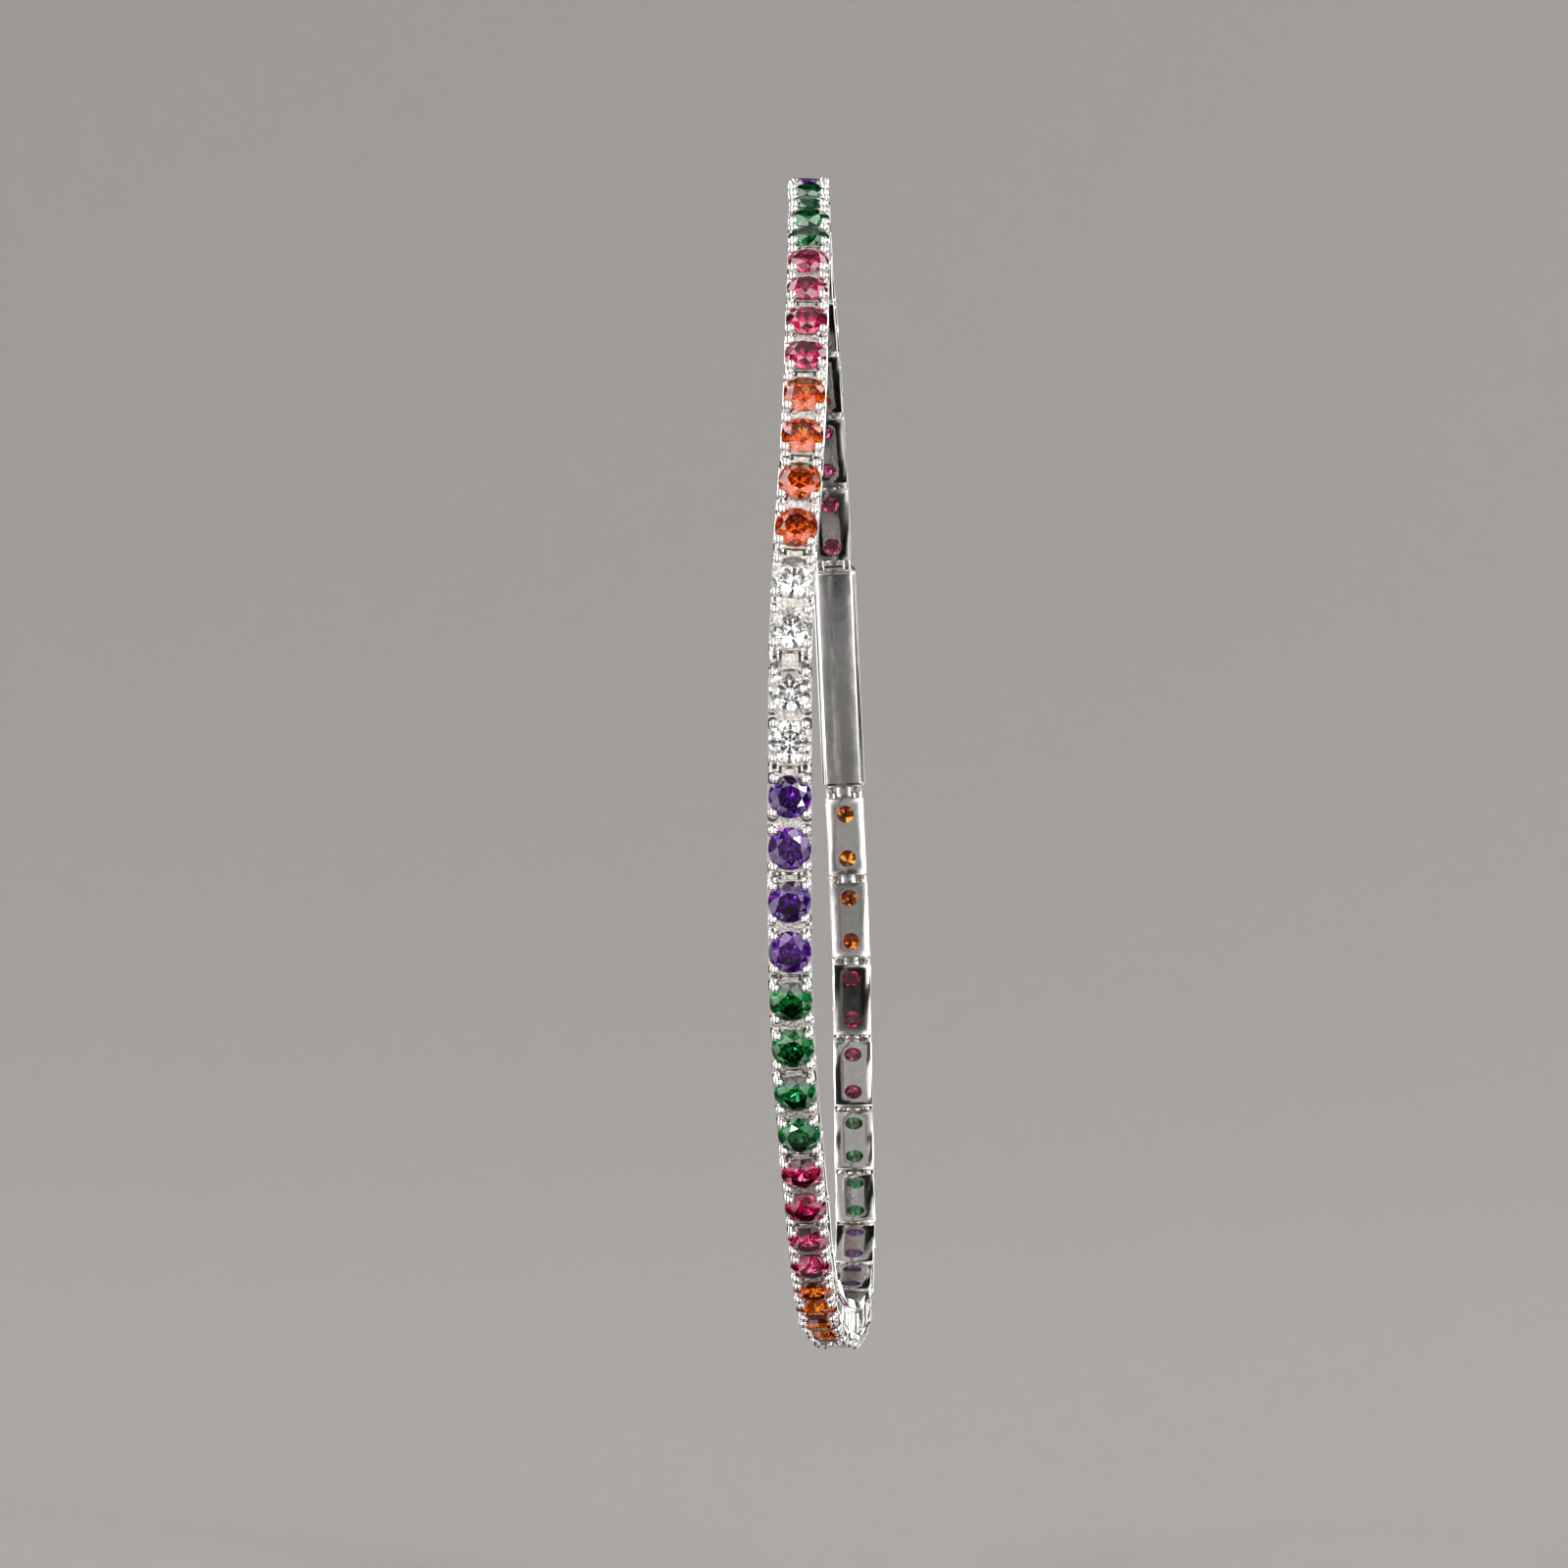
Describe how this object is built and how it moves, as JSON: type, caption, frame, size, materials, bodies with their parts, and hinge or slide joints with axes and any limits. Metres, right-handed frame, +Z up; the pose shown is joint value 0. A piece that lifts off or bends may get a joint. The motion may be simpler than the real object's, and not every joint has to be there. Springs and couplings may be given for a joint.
{
  "type": "tennis bracelet",
  "caption": "Closed tennis bracelet: hinged links of white metal in a round loop, each holding round brilliants in changing colours, with a plain clasp",
  "frame": {"origin": "the highest point of the hollow, where the bracelet sits on the wrist", "axes": "+Z up; +X along the wrist; the loop lies near the YZ plane, its front at -Y"},
  "size_m": [0.0055, 0.0584, 0.0585],
  "materials": {
    "silver": "rhodium-bright cast silver, polished prongs and rails, satin bars between the stones",
    "stone_green": "polished round brilliant, deep emerald green",
    "stone_pink": "polished round brilliant, ruby pink",
    "stone_orange": "polished round brilliant, deep orange",
    "stone_clear": "polished round brilliant, colourless",
    "stone_violet": "polished round brilliant, deep violet"
  },
  "bodies": {
    "root": {"link_01_pink": "silver", "link_02_pink": "silver", "link_03_orange": "silver", "link_04_orange": "silver", "link_05_clear": "silver", "link_06_clear": "silver", "link_07_violet": "silver", "link_08_violet": "silver", "link_09_green": "silver", "link_10_green": "silver", "link_11_pink": "silver", "link_12_pink": "silver", "link_13_orange": "silver", "link_14_orange": "silver", "link_15_clear": "silver", "link_16_clear": "silver", "link_17_violet": "silver", "link_18_violet": "silver", "link_19_green": "silver", "link_20_green": "silver", "link_21_pink": "silver", "link_22_pink": "silver", "link_23_orange": "silver", "link_24_orange": "silver", "link_25_clear": "silver", "link_26_clear": "silver", "link_27_violet": "silver", "link_28_violet": "silver", "link_29_green": "silver", "link_30_green": "silver", "link_31_pink": "silver", "link_32_pink": "silver", "link_33_orange": "silver", "link_34_orange": "silver", "clasp": "silver"}
  },
  "joints": []
}
